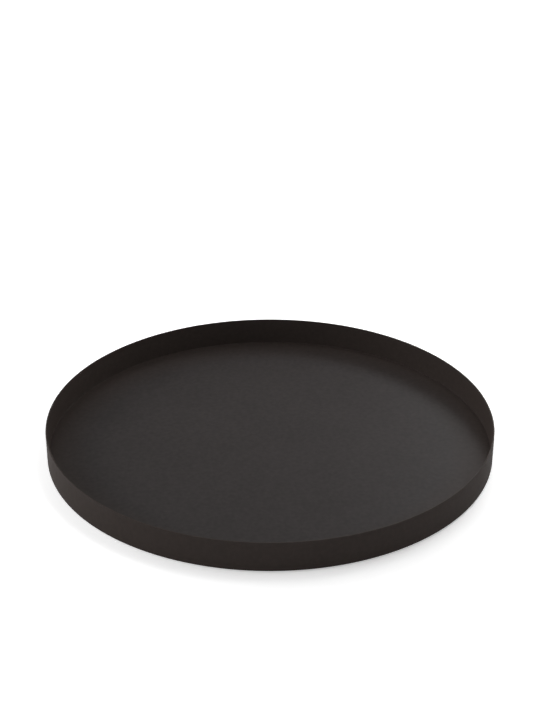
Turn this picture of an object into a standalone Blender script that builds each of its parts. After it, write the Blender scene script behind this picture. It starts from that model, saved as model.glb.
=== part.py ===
"""A round serving tray: a flat steel disc welded inside a low rolled steel rim, on four rubber feet.

Metres, +Z up. The origin is on the table under the middle of the tray, and -Y is its front.
Run with: blender --background --python part.py
"""

import math

import bmesh
import bpy

# Driving dimensions
TRAY_DIAMETER = 0.300         # outside of the rim
RIM_HEIGHT = 0.020            # width of the strip that is rolled into the rim
RIM_THICKNESS = 0.0010        # sheet of the strip
LIP_RADIUS = 0.0003           # rounding on both edges of the lip
BASE_THICKNESS = 0.0010       # sheet of the disc
SEAM_WELD_WIDTH = 0.0012      # butt weld that closes the strip into a ring
CORNER_WELD_WIDTH = 0.0015    # weld between disc and strip, which also fills the inside corner
CORNER_WELD_TOE = 0.00015     # thickness of that weld where it runs out up the strip
FOOT_DIAMETER = 0.012
FOOT_THICKNESS = 0.0008
FOOT_EDGE_RADIUS = 0.0002     # rounding round the bottom of a foot
FOOT_INSET = 0.028            # from the inside of the rim to the middle of a foot

# Clearances
WELD_CLEARANCE = 0.0003       # between a weld and the sheets that it joins
ADHESIVE_FILM = 0.0003        # film that holds a foot to the disc

# Directions in plan, counter-clockwise from +X
SEAM_DIRECTION = math.radians(90)
FOOT_DIRECTIONS = {
    "front_left": math.radians(225),
    "front_right": math.radians(315),
    "rear_left": math.radians(135),
    "rear_right": math.radians(45),
}

# How finely the round shapes are divided
FULL_TURN = math.tau
TRAY_STEPS = 128
SEAM_STEPS = 2
FOOT_STEPS = 32
ARC_STEPS = 3
SMOOTH_BELOW = math.radians(40)
ROUNDING_SHARE = 0.45         # a rounding takes at most this share of the thickness that it is on

# Finishes: colour, roughness and metallic value
POWDER_COAT = ((0.028, 0.023, 0.021, 1.0), 0.55, 0.0)
FOOT_RUBBER = ((0.012, 0.012, 0.012, 1.0), 0.80, 0.0)

# Places that follow from the dimensions
rim_outer = TRAY_DIAMETER / 2
rim_inner = rim_outer - RIM_THICKNESS
rim_middle = (rim_outer + rim_inner) / 2
weld_outer = rim_inner - WELD_CLEARANCE
weld_inner = weld_outer - CORNER_WELD_WIDTH
base_radius = weld_inner - WELD_CLEARANCE
underside = FOOT_THICKNESS + ADHESIVE_FILM
foot_circle = rim_inner - FOOT_INSET
seam_half_turn = SEAM_WELD_WIDTH / 2 / rim_middle
strip_end_turn = seam_half_turn + WELD_CLEARANCE / rim_middle


def clear_scene():
    for thing in list(bpy.data.objects):
        bpy.data.objects.remove(thing, do_unlink=True)


def make_material(name, finish):
    colour, roughness, metallic = finish
    material = bpy.data.materials.new(name)
    material.use_nodes = True
    shader = material.node_tree.nodes["Principled BSDF"]
    shader.inputs["Base Color"].default_value = colour
    shader.inputs["Roughness"].default_value = roughness
    shader.inputs["Metallic"].default_value = metallic
    material.diffuse_color = colour
    return material


def make_mesh(name, form):
    """A mesh from a bmesh, with its faces pointing out and its shallow edges shaded smooth."""
    bmesh.ops.recalc_face_normals(form, faces=form.faces)
    mesh = bpy.data.meshes.new(name)
    form.to_mesh(mesh)
    form.free()
    mesh.shade_smooth()
    mesh.set_sharp_from_angle(angle=SMOOTH_BELOW)
    return mesh


def place_piece(name, mesh, material, parent, location):
    piece = bpy.data.objects.new(name, mesh)
    bpy.context.collection.objects.link(piece)
    if not mesh.materials:
        mesh.materials.append(material)
    piece.parent = parent
    piece.location = location
    return piece


def arc(middle, radius, start, end):
    """Points (distance from the axis, height) on an arc, between two angles in degrees."""
    points = []
    for step in range(ARC_STEPS + 1):
        angle = math.radians(start + (end - start) * step / ARC_STEPS)
        points.append((middle[0] + radius * math.cos(angle), middle[1] + radius * math.sin(angle)))
    return points


def swept_mesh(name, profile, steps, start, turn):
    """A closed profile of (distance from the axis, height) points, carried round the axis."""
    form = bmesh.new()
    corners = []
    for distance, height in profile:
        corners.append(form.verts.new((distance * math.cos(start), distance * math.sin(start), height)))
    section = form.faces.new(corners)
    closed = turn == FULL_TURN
    carried = section.edges[:] if closed else [section]
    if closed:
        form.faces.remove(section)
    bmesh.ops.spin(form, geom=carried, cent=(0, 0, 0), axis=(0, 0, 1),
                   angle=turn, steps=steps, use_merge=closed)
    return make_mesh(name, form)


def disc_form(radius, thickness, steps):
    """A flat round disc, standing on the plane of its own origin."""
    form = bmesh.new()
    bmesh.ops.create_cone(form, cap_ends=True, segments=steps, radius1=radius, radius2=radius,
                          depth=thickness)
    bmesh.ops.translate(form, verts=form.verts, vec=(0, 0, thickness / 2))
    return form


def rim_profile():
    """Section of the strip: a plain lower edge and a lip that is rounded on both sides."""
    rounding = min(LIP_RADIUS, ROUNDING_SHARE * RIM_THICKNESS)
    shoulder = RIM_HEIGHT - rounding
    points = [(rim_inner, 0), (rim_outer, 0)]
    points += arc((rim_outer - rounding, shoulder), rounding, 0, 90)
    points += arc((rim_inner + rounding, shoulder), rounding, 90, 180)
    return points


def corner_weld_profile():
    """Section of the weld: as thick as the disc beside it, then a hollow fillet up the strip."""
    toe = min(CORNER_WELD_TOE, ROUNDING_SHARE * CORNER_WELD_WIDTH)
    hollow = CORNER_WELD_WIDTH - toe
    top = BASE_THICKNESS + hollow
    points = [(weld_inner, 0), (weld_outer, 0), (weld_outer, top)]
    points += arc((weld_inner, top), hollow, 0, -90)
    return points


def foot_mesh():
    """A die-cut rubber disc, rounded where it meets the table."""
    form = disc_form(FOOT_DIAMETER / 2, FOOT_THICKNESS, FOOT_STEPS)
    rounding = min(FOOT_EDGE_RADIUS, ROUNDING_SHARE * FOOT_THICKNESS)
    bottom_edges = []
    for edge in form.edges:
        if all(corner.co.z < FOOT_THICKNESS / 2 for corner in edge.verts):
            bottom_edges.append(edge)
    bmesh.ops.bevel(form, geom=bottom_edges, offset=rounding, segments=ARC_STEPS, profile=0.5,
                    affect="EDGES")
    return make_mesh("rubber_foot", form)


def build_body(tray):
    """The disc, the rolled strip and the two welds that hold them together."""
    coat = make_material("powder_coat", POWDER_COAT)
    plate = make_mesh("base_plate", disc_form(base_radius, BASE_THICKNESS, TRAY_STEPS))
    place_piece("base_plate", plate, coat, tray, (0, 0, underside))

    strip_turn = FULL_TURN - 2 * strip_end_turn
    strip = swept_mesh("rim_band", rim_profile(), TRAY_STEPS,
                       SEAM_DIRECTION + strip_end_turn, strip_turn)
    place_piece("rim_band", strip, coat, tray, (0, 0, underside))

    seam = swept_mesh("rim_seam_weld", rim_profile(), SEAM_STEPS,
                      SEAM_DIRECTION - seam_half_turn, 2 * seam_half_turn)
    place_piece("rim_seam_weld", seam, coat, tray, (0, 0, underside))

    fillet = swept_mesh("corner_weld", corner_weld_profile(), TRAY_STEPS, SEAM_DIRECTION, FULL_TURN)
    place_piece("corner_weld", fillet, coat, tray, (0, 0, underside))


def build_feet(tray):
    """Four rubber feet, stuck under the disc on one circle."""
    rubber = make_material("foot_rubber", FOOT_RUBBER)
    mesh = foot_mesh()
    for corner, direction in FOOT_DIRECTIONS.items():
        location = (foot_circle * math.cos(direction), foot_circle * math.sin(direction), 0)
        place_piece(f"rubber_foot_{corner}", mesh, rubber, tray, location)


def main():
    clear_scene()
    tray = bpy.data.objects.new("tray", None)
    bpy.context.collection.objects.link(tray)
    build_body(tray)
    build_feet(tray)


main()
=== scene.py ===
# %% [markdown]
# # A round serving tray in matt powder coat
#
# The tray in the photograph is the simplest of dishes: a flat steel disc, a low strip of steel rolled into
# a rim round it, and one warm-black powder coat over both. A plain object leaves nothing to hide behind, so
# this lesson spends its care on four things: a lip that catches the light, a crisp corner between floor and
# rim, a coat with a fine grain, and soft light that falls off as it does in the photograph.
#
# The construction comes first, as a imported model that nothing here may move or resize. Loading it gives a
# frame in metres, with +Z up and -Y towards the viewer, and every piece below takes its sizes from it.

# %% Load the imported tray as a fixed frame
import math

import bmesh
import bpy
from mathutils import Matrix, Vector


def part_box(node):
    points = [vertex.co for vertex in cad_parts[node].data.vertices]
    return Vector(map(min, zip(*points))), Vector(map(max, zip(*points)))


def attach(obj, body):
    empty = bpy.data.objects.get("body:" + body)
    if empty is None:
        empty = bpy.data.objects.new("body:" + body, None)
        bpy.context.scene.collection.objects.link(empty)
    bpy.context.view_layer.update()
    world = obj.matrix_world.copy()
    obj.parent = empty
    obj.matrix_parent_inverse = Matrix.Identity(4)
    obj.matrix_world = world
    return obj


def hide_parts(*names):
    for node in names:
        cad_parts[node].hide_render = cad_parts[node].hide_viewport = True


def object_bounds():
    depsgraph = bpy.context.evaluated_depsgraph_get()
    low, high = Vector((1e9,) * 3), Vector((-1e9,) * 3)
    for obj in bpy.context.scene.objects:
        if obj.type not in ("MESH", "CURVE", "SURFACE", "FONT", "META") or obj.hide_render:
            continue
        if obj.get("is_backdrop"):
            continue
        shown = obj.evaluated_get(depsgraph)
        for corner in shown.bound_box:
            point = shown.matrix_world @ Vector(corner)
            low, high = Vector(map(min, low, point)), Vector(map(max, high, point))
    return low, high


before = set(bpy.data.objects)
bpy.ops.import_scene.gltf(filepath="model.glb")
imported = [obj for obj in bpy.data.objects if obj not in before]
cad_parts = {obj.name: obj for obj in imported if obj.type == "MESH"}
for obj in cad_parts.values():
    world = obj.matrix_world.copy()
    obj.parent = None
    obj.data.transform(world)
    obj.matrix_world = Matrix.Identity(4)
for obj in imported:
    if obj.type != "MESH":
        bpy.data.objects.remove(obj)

cad_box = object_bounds()
print("pieces in the frame:", sorted(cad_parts))

# %% [markdown]
# ## Reading the sizes
#
# Numbers that are typed twice drift apart, so the sizes are read off the frame instead. The rim's box gives
# the outside radius and both edges of the strip, the seam's box gives the thickness of the sheet, and the
# disc's box gives the level that plates and cups stand on.

# %% Measure the frame
MM = 1000
rim_low, rim_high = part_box("rim_band")
disc_low, disc_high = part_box("base_plate")
seam_low, seam_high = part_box("rim_seam_weld")

outer_radius = -rim_low.y
sheet = seam_high.y - seam_low.y
inner_radius = outer_radius - sheet
underside = rim_low.z
lip_level = rim_high.z
floor_level = disc_high.z
print(f"tray {2 * MM * outer_radius:.1f} mm across, sheet {MM * sheet:.2f} mm")
print(f"underside {MM * underside:.2f}, floor {MM * floor_level:.2f}, lip {MM * lip_level:.2f} mm")

# %% [markdown]
# ## The photograph's camera
#
# The camera stands in front of the tray and looks down on it. Its height, distance, tilt and lens could be
# found by trial, moving it until the ellipses of the lip and of the lower edge both lie on the photograph.
# Four numbers are enough, because the tray is in the middle of the frame and the camera isn't rolled. The
# picture is taller than it is wide, so Blender measures the 36 mm sensor along its height. A camera that
# isn't turned at all looks straight down, so it is lifted level first and then tilted.

# %% Set up the camera
CAMERA_BACK = 0.8708
CAMERA_HEIGHT = 0.5153
CAMERA_TILT = math.radians(27.407)
CAMERA_LENS = 74.25
LEVEL = math.radians(90)

camera_data = bpy.data.cameras.new("photo_camera")
camera_data.lens = CAMERA_LENS
camera = bpy.data.objects.new("photo_camera", camera_data)
camera.location = (0, -CAMERA_BACK, CAMERA_HEIGHT)
camera.rotation_euler = (LEVEL - CAMERA_TILT, 0, 0)
bpy.context.scene.collection.objects.link(camera)
bpy.context.scene.camera = camera
print(f"camera {math.hypot(CAMERA_BACK, CAMERA_HEIGHT):.3f} m from the middle of the tray")

# %% [markdown]
# ## The powder coat
#
# Powder coat is sprayed on as dry dust and baked until it flows. It ends up as a skin a tenth of a
# millimetre thick, with a fine pebbled grain, a slight slow swell known as orange peel, and hardly any
# gloss. An image of a coated panel would show that too, but it would repeat and it would need unwrapping.
# Noise in the object's own coordinates needs neither, and it runs on from piece to piece without a seam.

# %% Start a material and fill it with noise


def new_material(name):
    """A node material with its tree and its shader, ready to be wired."""
    material = bpy.data.materials.new(name)
    material.use_nodes = True
    return material, material.node_tree, material.node_tree.nodes["Principled BSDF"]


def own_place(tree):
    """Where a point lies on its own object, in metres."""
    return tree.nodes.new("ShaderNodeTexCoord").outputs["Object"]


def noise(tree, place, blobs, layers, strength=0.5):
    """A noise with so many blobs in a metre. Each finer layer has a share of the strength of the last."""
    node = tree.nodes.new("ShaderNodeTexNoise")
    node.inputs["Scale"].default_value = blobs
    node.inputs["Detail"].default_value = layers
    node.inputs["Roughness"].default_value = strength
    tree.links.new(place, node.inputs["Vector"])
    return node.outputs["Fac"]


# %% [markdown]
# ### From noise to colour
#
# A noise value keeps near the middle of 0 to 1, and used as it is it would hardly vary the colour. So its
# middle part is spread over a range of our own. Before that, two noises can be blended: a fine one for the
# mottle, and a slow one for the way that the spray drifted over the sheet.

# %% Spread and blend
NOISE_MIDDLE = (0.3, 0.7)


def spread(tree, value, low, high, part=NOISE_MIDDLE):
    """Map one part of a value's range, for a noise its middle, to the range from low to high."""
    node = tree.nodes.new("ShaderNodeMapRange")
    node.inputs["From Min"].default_value = part[0]
    node.inputs["From Max"].default_value = part[1]
    node.inputs["To Min"].default_value = low
    node.inputs["To Max"].default_value = high
    tree.links.new(value, node.inputs["Value"])
    return node.outputs["Result"]


def blend_values(tree, share, first, second):
    """Mix a share of a second value into a first one."""
    node = tree.nodes.new("ShaderNodeMix")
    node.inputs["Factor"].default_value = share
    tree.links.new(first, node.inputs["A"])
    tree.links.new(second, node.inputs["B"])
    return node.outputs["Result"]


def blend_colours(tree, amount, first, second):
    """Mix two colours by a value from 0 to 1. Each may be fixed, or come out of another node."""
    node = tree.nodes.new("ShaderNodeMix")
    node.data_type = "RGBA"
    for name, colour in (("A", first), ("B", second)):
        if isinstance(colour, bpy.types.NodeSocket):
            tree.links.new(colour, node.inputs[name])
        else:
            node.inputs[name].default_value = colour
    tree.links.new(amount, node.inputs["Factor"])
    return node.outputs["Result"]


# %% [markdown]
# ### Painted sheen in the middle
#
# In the photograph the rim is a browner black than the floor. The floor's greyer tone is painted sheen: the
# neutral gloss of the lit floor, painted into its colour. A second material for the floor would show that,
# but it would end in a hard line at the corner. The painted sheen fades out before the rim, where the rim's
# shade falls on the floor, so the distance from the middle says how much of it there is.

# %% Find the distance from the middle


def from_middle(tree):
    """How far a point lies from the middle of its own object, in metres."""
    node = tree.nodes.new("ShaderNodeVectorMath")
    node.operation = "LENGTH"
    tree.links.new(own_place(tree), node.inputs[0])
    return node.outputs["Value"]


# %% [markdown]
# ### Grain as bump
#
# The grain is a few hundredths of a millimetre high. Modelled, it would take millions of faces, and it
# would still be too low to show in the outline. A bump node leaves the surface where it is, and only changes
# the way that it takes the light. Bumps can be stacked, each one on top of the last.

# %% Stack bumps


def add_bump(tree, shader, height, distance):
    """Raise the surface by a height from 0 to 1, where 1 is a distance in metres."""
    node = tree.nodes.new("ShaderNodeBump")
    node.inputs["Distance"].default_value = distance
    tree.links.new(height, node.inputs["Height"])
    normal = shader.inputs["Normal"]
    if normal.is_linked:
        tree.links.new(normal.links[0].from_socket, node.inputs["Normal"])
    tree.links.new(node.outputs["Normal"], normal)
    return node.outputs["Normal"]


# %% [markdown]
# ### The coat's gloss
#
# The gloss could be turned down with the shader's specular level, but that dims it only head on, and the
# rim would still flare where it turns away. The clear layer that the shader can lay on top has a weight of
# its own, which dims it the same from every side. So the pigment below has next to no gloss, and the
# resin's gloss is that clear layer at about an eighth. Each noise below is given by its blobs in a metre and
# its layers, and each height in metres.

# %% Mix the powder coat
COAT_DARK = (0.0258, 0.0202, 0.0180, 1)
COAT_LIGHT = (0.0310, 0.0242, 0.0216, 1)
# Painted sheen: a greyer copy of the coat colour for the lit floor, fading out near the rim, where the rim's
# shade falls.
PAINTED_SHEEN_DARK = (0.0220, 0.0194, 0.0190, 1)
PAINTED_SHEEN_LIGHT = (0.0298, 0.0262, 0.0257, 1)
PAINTED_SHEEN_ENDS_BETWEEN = (0.12, 0.147)
MOTTLE = (350, 2)
DRIFT = (22, 3)
DRIFT_SHARE = 0.3
GRAIN = (1500, 2)
GRAIN_HEIGHT = 0.00004
GRAIN_ROUGHNESS = (0.5, 0.6)
PEEL = (260, 1)
PEEL_HEIGHT = 0.00003
PIGMENT_GLOSS = 0.002
RESIN_GLOSS = 0.13
RESIN_ROUGHNESS = 0.45


def powder_coat():
    """A mottled warm black, greyer towards the middle as painted sheen, with grain and peel under a faint
    clear gloss.
    """
    material, tree, shader = new_material("powder_coat")
    place = own_place(tree)
    drifting = blend_values(tree, DRIFT_SHARE, noise(tree, place, *MOTTLE), noise(tree, place, *DRIFT))
    tone = spread(tree, drifting, 0, 1)
    coat_colour = blend_colours(tree, tone, COAT_DARK, COAT_LIGHT)
    painted_sheen_colour = blend_colours(tree, tone, PAINTED_SHEEN_DARK, PAINTED_SHEEN_LIGHT)
    # painted sheen towards the middle, and the plain coat colour as painted shade close to the rim
    sheen_share = spread(tree, from_middle(tree), 1, 0, PAINTED_SHEEN_ENDS_BETWEEN)
    colour = blend_colours(tree, sheen_share, coat_colour, painted_sheen_colour)
    tree.links.new(colour, shader.inputs["Base Color"])
    grain = noise(tree, place, *GRAIN)
    tree.links.new(spread(tree, grain, *GRAIN_ROUGHNESS), shader.inputs["Roughness"])
    shader.inputs["Specular IOR Level"].default_value = PIGMENT_GLOSS
    shader.inputs["Coat Weight"].default_value = RESIN_GLOSS
    shader.inputs["Coat Roughness"].default_value = RESIN_ROUGHNESS
    add_bump(tree, shader, grain, GRAIN_HEIGHT)
    bumps = add_bump(tree, shader, noise(tree, place, *PEEL), PEEL_HEIGHT)
    tree.links.new(bumps, shader.inputs["Coat Normal"])
    return material


coat = powder_coat()
print("powder coat nodes:", len(coat.node_tree.nodes))

# %% [markdown]
# ## Outlines and the lathe
#
# Every piece of this tray is round, so every piece can be turned: draw half of its section and spin it
# about the middle. A section with dead sharp corners would look like paper, and one that is only shaded
# smooth would smear light over its flats. So each corner gets a small arc, and a holding point on the flat
# just before and just after the arc keeps the shading of the flat clean.

# %% Soften the corners of an outline
ARC_STEPS = 6
HOLD = 0.00012


def soften(before, corner, after, radius):
    """The points that replace one corner of an outline by an arc."""
    to_before = (before - corner).normalized()
    to_after = (after - corner).normalized()
    half = to_before.angle(to_after) / 2
    reach = radius / math.tan(half)
    middle = corner + (to_before + to_after).normalized() * radius / math.sin(half)
    spoke = corner + to_before * reach - middle
    turn = spoke.angle_signed(corner + to_after * reach - middle)
    points = [corner + to_before * (reach + HOLD)]
    for step in range(ARC_STEPS + 1):
        points.append(middle + Matrix.Rotation(-turn * step / ARC_STEPS, 2) @ spoke)
    points.append(corner + to_after * (reach + HOLD))
    return points


def soft_outline(corners):
    """An outline from (distance from the axis, height, softening radius) corners, in order."""
    flat = [Vector(corner[:2]) for corner in corners]
    outline = []
    for index, corner in enumerate(corners):
        if corner[2] > 0:
            after = flat[(index + 1) % len(flat)]
            outline += soften(flat[index - 1], flat[index], after, corner[2])
        else:
            outline.append(flat[index])
    return outline


print("points in a soft corner:", ARC_STEPS + 3)

# %% [markdown]
# ### Spinning
#
# A Screw modifier could spin the outline, but only from an object of its own for each piece. The spin
# operator works on the mesh itself. A whole ring is spun from the edges of the outline. A part of a ring is
# spun from the filled outline instead, so that it is closed at both ends. An edge that lies on the axis is
# left out, since it would only spin in its place.

# %% Spin an outline
ROUND_STEPS = 384
MERGE_WITHIN = 1e-7
SHARP_ABOVE = math.radians(35)


def spin_outline(name, outline, start=0.0, turn=math.tau, steps=ROUND_STEPS):
    """A closed mesh from an outline, spun about Z all the way or part of it."""
    form = bmesh.new()
    across = Matrix.Rotation(start, 3, "Z")
    corners = [form.verts.new(across @ Vector((point.x, 0, point.y))) for point in outline]
    whole = turn == math.tau
    if whole:
        carried = [form.edges.new((corners[i - 1], corners[i])) for i in range(len(corners))
                   if outline[i - 1].x > 0 or outline[i].x > 0]
    else:
        carried = [form.faces.new(corners)]
    bmesh.ops.spin(form, geom=carried, cent=(0, 0, 0), axis=(0, 0, 1), angle=turn,
                   steps=steps, use_merge=whole)
    bmesh.ops.remove_doubles(form, verts=form.verts, dist=MERGE_WITHIN)
    bmesh.ops.recalc_face_normals(form, faces=form.faces)
    mesh = bpy.data.meshes.new(name)
    form.to_mesh(mesh)
    form.free()
    mesh.shade_smooth()
    mesh.set_sharp_from_angle(angle=SHARP_ABOVE)
    return mesh


# %% [markdown]
# ### Placing a piece
#
# A mesh alone isn't part of the tray. It becomes a piece when it has its finish, when it rides on the
# tray's one body, so that it moves with it, and when the solids of the packed model that it stands in for
# are hidden behind it.

# %% Place a piece on the tray


def place_piece(mesh, material, slot, *nodes):
    """Make a mesh a piece of the tray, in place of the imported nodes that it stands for."""
    mesh.materials.append(material)
    piece = bpy.data.objects.new(mesh.name, mesh)
    bpy.context.scene.collection.objects.link(piece)
    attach(piece, "root")
    if nodes:
        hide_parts(*nodes)
    print(f"{piece.name}: {len(mesh.polygons)} faces")


# %% [markdown]
# ## The floor
#
# The floor is the disc. It could stay a bare cylinder, but then its centre would be one many-sided face,
# which shades badly. Spun from an outline that starts and ends on the axis, it is a fan of clean faces, and
# its lower edge gets the small radius that the coat leaves on cut sheet.

# %% Turn the floor
EDGE_RADIUS = 0.00015
floor_edge = disc_high.x


def disc_outline(radius, top, bottom, top_softness, bottom_softness):
    """Half of the section of a disc, from the axis out and back."""
    return soft_outline([
        (0, top, 0),
        (radius, top, top_softness),
        (radius, bottom, bottom_softness),
        (0, bottom, 0),
    ])


floor_outline = disc_outline(floor_edge, floor_level, underside, 0, EDGE_RADIUS)
place_piece(spin_outline("tray_floor", floor_outline), coat, "powder_coat", "base_plate")

# %% [markdown]
# ## The rim
#
# The rim is a strip cut from the same sheet and rolled into a ring. Its lower edge is nearly square. Its
# lip is rounded on both sides, so that it doesn't cut a hand, and that rounding is what draws the thin pale
# line along the front of the tray in the photograph. The strip could be spun all the way round, but then
# there would be no seam: it stops short at the back, where its two ends are welded.

# %% Roll the rim
LIP_RADIUS = 0.0003
seam_turn = (seam_high.x - seam_low.x) / outer_radius
seam_at = math.radians(90)

rim_outline = soft_outline([
    (inner_radius, underside, EDGE_RADIUS),
    (outer_radius, underside, EDGE_RADIUS),
    (outer_radius, lip_level, LIP_RADIUS),
    (inner_radius, lip_level, LIP_RADIUS),
])
rim_mesh = spin_outline("tray_rim", rim_outline, seam_at + seam_turn / 2, math.tau - seam_turn)
place_piece(rim_mesh, coat, "powder_coat", "rim_band")

# %% [markdown]
# ## The seam at the back
#
# The strip's ends are butt welded, and the weld is ground back until a finger hardly finds it. The coat
# doesn't hide it quite: from behind, a shallow upright hollow shows in a raking light. A line drawn in the
# material would show the same from every side, so the hollow is made in the mesh, deepest in the middle and
# running out to nothing at both sides. The inside is left flush.

# %% Grind the seam
SEAM_HOLLOW = 0.00006
SEAM_STEPS = 12
outside_from = outer_radius - sheet / 4

seam_mesh = spin_outline("rim_seam", rim_outline, seam_at - seam_turn / 2, seam_turn, SEAM_STEPS)
for point in seam_mesh.vertices:
    distance = math.hypot(point.co.x, point.co.y)
    if distance > outside_from:
        across = (math.atan2(point.co.y, point.co.x) - seam_at) / (seam_turn / 2)
        depth = SEAM_HOLLOW * (1 + math.cos(math.pi * across)) / 2
        point.co.x *= (distance - depth) / distance
        point.co.y *= (distance - depth) / distance
place_piece(seam_mesh, coat, "powder_coat", "rim_seam_weld")

# %% [markdown]
# ## The welded corner
#
# A weld joins the disc to the strip all the way round. It is ground flush with the floor, and the coat runs
# across it without a mark. Only where floor and wall meet does the coat gather, in a hollow as small as the
# photograph's crisp corner allows. A bevel between two joined meshes could make the hollow, but here each
# piece stays its own, so the weld's section ends in an arc that meets floor and wall without a step.
# Underneath, the weld is ground flush too, and leaves two fine lines.

# %% Lay the corner weld
HOLLOW_RADIUS = 0.0002
HOLLOW_STEPS = 6
QUARTER_TURN = math.radians(90)

hollow_middle = Vector((inner_radius - HOLLOW_RADIUS, floor_level + HOLLOW_RADIUS))
weld_outline = [
    Vector((floor_edge, underside + EDGE_RADIUS)),
    Vector((floor_edge + EDGE_RADIUS, underside)),
    Vector((inner_radius - EDGE_RADIUS, underside)),
    Vector((inner_radius, underside + EDGE_RADIUS)),
]
for step in range(HOLLOW_STEPS + 1):
    angle = -QUARTER_TURN * step / HOLLOW_STEPS
    weld_outline.append(hollow_middle + HOLLOW_RADIUS * Vector((math.cos(angle), math.sin(angle))))
weld_outline.append(Vector((hollow_middle.x - HOLD, floor_level)))
weld_outline.append(Vector((floor_edge, floor_level)))
place_piece(spin_outline("corner_fillet", weld_outline), coat, "powder_coat", "corner_weld")

# %% [markdown]
# ## The rubber feet
#
# Four thin rubber discs keep the steel off the table. Each is cut from sheet with a punch, which leaves a
# straight side and a slightly rounded bottom, and each is held by a film of adhesive that shows as a paler
# line above it when the tray is turned over. One flat black would do for rubber at a distance, but from
# below it would look like a hole. Real rubber has pores, and with age it greys in clouds.

# %% Mix the rubber and the adhesive
RUBBER_DARK = (0.010, 0.010, 0.010, 1)
RUBBER_GREYED = (0.020, 0.019, 0.018, 1)
RUBBER_CLOUDS = (300, 4, 0.6)
RUBBER_ROUGHNESS = (0.7, 0.85)
PORES = (3000, 2)
PORE_DEPTH = 0.00003
FILM_DULL = (0.55, 0.54, 0.50, 1)
FILM_PALE = (0.68, 0.67, 0.63, 1)
FILM_CLOUDS = (700, 3)
FILM_ROUGHNESS = (0.35, 0.5)


def foot_rubber():
    """A dull black that greys in clouds, with fine pores."""
    material, tree, shader = new_material("foot_rubber")
    place = own_place(tree)
    clouds = noise(tree, place, *RUBBER_CLOUDS)
    colour = blend_colours(tree, spread(tree, clouds, 0, 1), RUBBER_DARK, RUBBER_GREYED)
    tree.links.new(colour, shader.inputs["Base Color"])
    tree.links.new(spread(tree, clouds, *RUBBER_ROUGHNESS), shader.inputs["Roughness"])
    add_bump(tree, shader, noise(tree, place, *PORES), PORE_DEPTH)
    return material


def adhesive_film():
    """A pale film, cloudy where it holds less well."""
    material, tree, shader = new_material("adhesive_film")
    clouds = spread(tree, noise(tree, own_place(tree), *FILM_CLOUDS), 0, 1)
    colour = blend_colours(tree, clouds, FILM_DULL, FILM_PALE)
    tree.links.new(colour, shader.inputs["Base Color"])
    tree.links.new(spread(tree, clouds, *FILM_ROUGHNESS), shader.inputs["Roughness"])
    return material


rubber = foot_rubber()
adhesive = adhesive_film()
print("rubber nodes:", len(rubber.node_tree.nodes), "adhesive nodes:", len(adhesive.node_tree.nodes))

# %% Punch the feet
FOOT_STEPS = 64
FOOT_TOP_EDGE = 0.00005
FOOT_BOTTOM_EDGE = 0.0002
FILM_INSET = 0.0003

for corner in ("front_left", "front_right", "rear_left", "rear_right"):
    node = f"rubber_foot_{corner}"
    foot_low, foot_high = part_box(node)
    middle = (foot_low + foot_high) / 2
    radius = (foot_high.x - foot_low.x) / 2
    to_its_place = Matrix.Translation((middle.x, middle.y, 0))

    foot_outline = disc_outline(radius, foot_high.z, foot_low.z, FOOT_TOP_EDGE, FOOT_BOTTOM_EDGE)
    foot_mesh = spin_outline(f"foot_{corner}", foot_outline, steps=FOOT_STEPS)
    foot_mesh.transform(to_its_place)
    place_piece(foot_mesh, rubber, "foot_rubber", node)

    film_outline = disc_outline(radius - FILM_INSET, underside, foot_high.z, 0, 0)
    film_mesh = spin_outline(f"film_{corner}", film_outline, steps=FOOT_STEPS)
    film_mesh.transform(to_its_place)
    place_piece(film_mesh, adhesive, "foot_rubber")

# %% [markdown]
# ## The studio
#
# The photograph shows the tray on pure white, with only a short soft shadow in front of it. White paper lit
# as brightly as that would throw far too much light back at the tray. So the paper is lit at a plain level,
# and a glow that only the lens and the coat's gloss can see lifts it to white. The glow is weaker beside the
# tray, where it would drown the shadow, and full further out. The sky above the paper is the same white.

# %% Tell what is seen from what lights


def seen_by_lens(tree):
    """A value of 1 for what the lens, a gloss or a glass shows, and 0 for light on its way to a surface."""
    path = tree.nodes.new("ShaderNodeLightPath")
    seen = path.outputs["Is Camera Ray"]
    for kind in ("Is Glossy Ray", "Is Transmission Ray"):
        either = tree.nodes.new("ShaderNodeMath")
        either.operation = "MAXIMUM"
        tree.links.new(seen, either.inputs[0])
        tree.links.new(path.outputs[kind], either.inputs[1])
        seen = either.outputs["Value"]
    return seen


# %% Make the white paper
WHITE = (1, 1, 1, 1)
PAPER_WHITE = (0.9, 0.9, 0.9, 1)
PAPER_ROUGHNESS = 1.0
PAPER_GLOSS = 0.0
GLOW_BESIDE_TRAY = 0.41
GLOW_FAR_OUT = 1.0
GLOW_GROWS_BETWEEN = (0.3, 0.9)


def white_paper():
    """Matt paper with a glow for the lens that grows with the distance from the tray."""
    material, tree, shader = new_material("white_paper")
    shader.inputs["Base Color"].default_value = PAPER_WHITE
    shader.inputs["Roughness"].default_value = PAPER_ROUGHNESS
    shader.inputs["Specular IOR Level"].default_value = PAPER_GLOSS
    shader.inputs["Emission Color"].default_value = WHITE
    glow = spread(tree, from_middle(tree), GLOW_BESIDE_TRAY, GLOW_FAR_OUT, GLOW_GROWS_BETWEEN)
    strength = tree.nodes.new("ShaderNodeMath")
    strength.operation = "MULTIPLY"
    tree.links.new(glow, strength.inputs[0])
    tree.links.new(seen_by_lens(tree), strength.inputs[1])
    tree.links.new(strength.outputs["Value"], shader.inputs["Emission Strength"])
    return material


paper = white_paper()
print("paper nodes:", len(paper.node_tree.nodes))

# %% Lay the ground and put up the sky
GROUND_RADIUS = 30
GROUND_SIDES = 64

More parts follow.
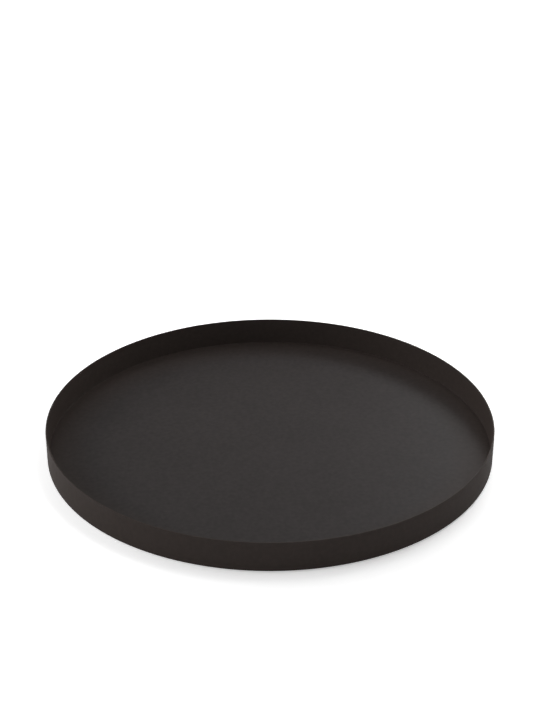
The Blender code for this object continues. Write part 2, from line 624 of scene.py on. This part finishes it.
ground_form = bmesh.new()
bmesh.ops.create_circle(ground_form, cap_ends=True, segments=GROUND_SIDES, radius=GROUND_RADIUS)
ground_mesh = bpy.data.meshes.new("ground")
ground_form.to_mesh(ground_mesh)
ground_form.free()
ground_mesh.materials.append(paper)
ground = bpy.data.objects.new("ground", ground_mesh)
bpy.context.scene.collection.objects.link(ground)
ground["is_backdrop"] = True

world = bpy.data.worlds.new("white_sky")
bpy.context.scene.world = world
world.use_nodes = True
sky = world.node_tree.nodes["Background"]
sky.inputs["Color"].default_value = WHITE
world.node_tree.links.new(seen_by_lens(world.node_tree), sky.inputs["Strength"])
print(f"white ground of {GROUND_RADIUS} m radius, glow {GLOW_BESIDE_TRAY} beside the tray")

# %% [markdown]
# ## The lamps
#
# A bright sky would be the easy light, but under it the rim's shade would be the same all the way round.
# The shade in the photograph says where the lamps stood. Along the right and the back it is flat and ends in
# a clear edge, which takes small boxes close by on that side. On the left it fades slowly, as it does under
# large boxes further off. The outside of the rim is brightest at its two ends, so low boxes stand at both
# sides. The shadow lies in front of the tray, so little of the light comes from there.
#
# Each box is given by the direction that it hangs in, counter-clockwise from the right of the tray, by its
# height as an angle, by its kind and by its brightness, where 1 is the brightness of lit white paper.

# %% Hang the soft boxes
LARGE_BOX = {"distance": 1.5, "width": 0.8, "height": 0.5}
SMALL_BOX = {"distance": 0.7, "width": 0.3, "height": 0.18}
SOFT_BOXES = {
    "right_low": (0, 6, LARGE_BOX, 5.8),
    "right_high": (0, 72, SMALL_BOX, 5.4),
    "back_right": (30, 30, SMALL_BOX, 6.8),
    "back": (60, 30, SMALL_BOX, 9.3),
    "back_high": (60, 72, SMALL_BOX, 5.2),
    "back_left_high": (120, 55, SMALL_BOX, 3.1),
    "back_left": (150, 18, LARGE_BOX, 8.3),
    "left_low": (180, 18, LARGE_BOX, 7.5),
    "front_left": (210, 33, LARGE_BOX, 4.3),
    "front_low": (270, 6, LARGE_BOX, 4.7),
}


def hang_soft_box(name, direction, elevation, kind, brightness):
    """An area lamp that faces the tray, with the power that gives its face this brightness."""
    data = bpy.data.lights.new(name, "AREA")
    data.shape = "RECTANGLE"
    data.size = kind["width"]
    data.size_y = kind["height"]
    data.energy = brightness * math.pi * data.size * data.size_y
    turn = math.radians(direction)
    rise = math.radians(elevation)
    away = Vector((math.cos(rise) * math.cos(turn), math.cos(rise) * math.sin(turn), math.sin(rise)))
    lamp = bpy.data.objects.new(name, data)
    lamp.location = away * kind["distance"]
    lamp.rotation_euler = away.to_track_quat("Z", "Y").to_euler()
    bpy.context.scene.collection.objects.link(lamp)
    print(f"{name}: {data.energy:.2f} W")


for name, box in SOFT_BOXES.items():
    hang_soft_box(name, *box)

bpy.context.scene.view_settings.view_transform = "Standard"

# %% [markdown]
# ## The size at the end
#
# The dressed tray must be as big as the imported one, so both boxes are printed.

# %% Print the two boxes
visual_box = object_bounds()
for title, (low, high) in (("packed", cad_box), ("dressed", visual_box)):
    print(f"{title} tray:", " x ".join(f"{MM * side:.1f}" for side in high - low), "mm")
